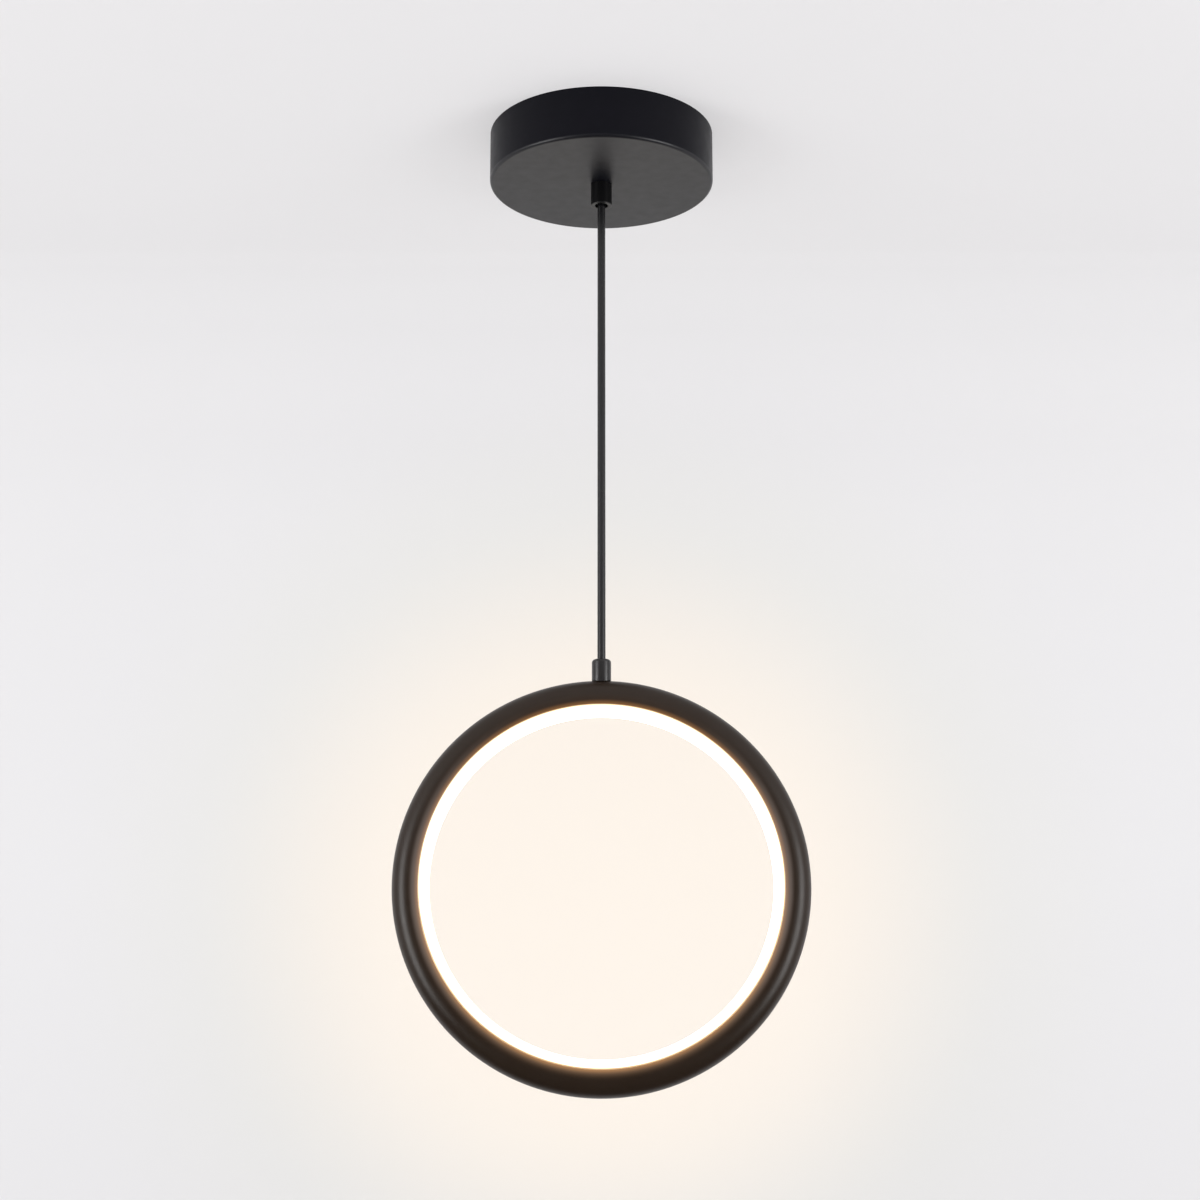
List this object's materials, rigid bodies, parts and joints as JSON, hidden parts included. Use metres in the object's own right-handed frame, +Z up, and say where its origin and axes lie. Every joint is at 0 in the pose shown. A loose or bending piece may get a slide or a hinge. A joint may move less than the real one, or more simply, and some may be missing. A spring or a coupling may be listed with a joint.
{
  "type": "led ring pendant light",
  "caption": "Upright LED ring with an inner opal diffuser, hung on one straight cord from a shallow round ceiling canopy.",
  "frame": {"origin": "centre of the ceiling plane, midway between the bracket's two ceiling slots", "axes": "+Z up out of the ceiling face, the lamp hangs along -Z; the ring stands in the XZ plane and faces -Y; +X along the bracket"},
  "size_m": [0.28, 0.16, 0.6845],
  "materials": {
    "canopy_paint": "satin black powder coat on drawn steel",
    "gland_paint": "satin black finish on turned steel",
    "ring_paint": "satin black powder coat on rolled aluminium",
    "bracket_zinc": "bright zinc plate",
    "screw_steel": "black oxide",
    "nut_brass": "turned brass",
    "nut_zinc": "zinc plate",
    "cord_pvc": "smooth black sheath",
    "grommet_silicone": "black silicone",
    "driver_case_white": "fine spark-eroded texture",
    "board_green": "solder mask",
    "terminal_nylon": "moulded nylon",
    "terminal_steel": "zinc plate",
    "lead_brown": "wire insulation",
    "lead_core": "wire insulation",
    "lead_earth": "wire insulation",
    "led_board_white": "white solder mask on metal core",
    "led_phosphor": "phosphor gel",
    "opal": "opal acrylic, lit from behind"
  },
  "bodies": {
    "ceiling_unit": {"mounting_bracket": "bracket_zinc", "canopy": "canopy_paint", "canopy_screws": "screw_steel", "gland_body": "gland_paint", "gland_nut": "nut_brass", "gland_grub_screw": "screw_steel", "cord_tail": "cord_pvc", "cord_cores": "lead_core", "driver_case": "driver_case_white", "driver_lid": "driver_case_white", "driver_board": "board_green", "driver_nuts": "nut_zinc", "terminal_block": "terminal_nylon", "terminal_screws": "terminal_steel", "mains_leads": "lead_brown", "earth_lead": "lead_earth"},
    "grommet": {"cord_grommet": "grommet_silicone"},
    "cord": {"cord": "cord_pvc"},
    "ring": {"ring_housing": "ring_paint", "led_board": "led_board_white", "led_chips": "led_phosphor", "diffuser": "opal", "ferrule": "gland_paint", "ferrule_nut": "nut_brass", "ferrule_grub_screw": "screw_steel", "cord_end": "cord_pvc", "board_leads": "lead_core"}
  },
  "joints": [
    {"name": "swing_side", "type": "hinge", "parent": "ceiling_unit", "child": "grommet", "pos_m": [0, 0, -0.0495], "axis": [0, 1, 0], "range_deg": [-12, 12]},
    {"name": "swing_fore_aft", "type": "hinge", "parent": "grommet", "child": "cord", "pos_m": [0, 0, -0.0495], "axis": [1, 0, 0], "range_deg": [-12, 12]},
    {"name": "ring_turn", "type": "hinge", "parent": "cord", "child": "ring", "pos_m": [0, 0, -0.3895], "axis": [0, 0, 1], "range_deg": [-90, 90]}
  ]
}
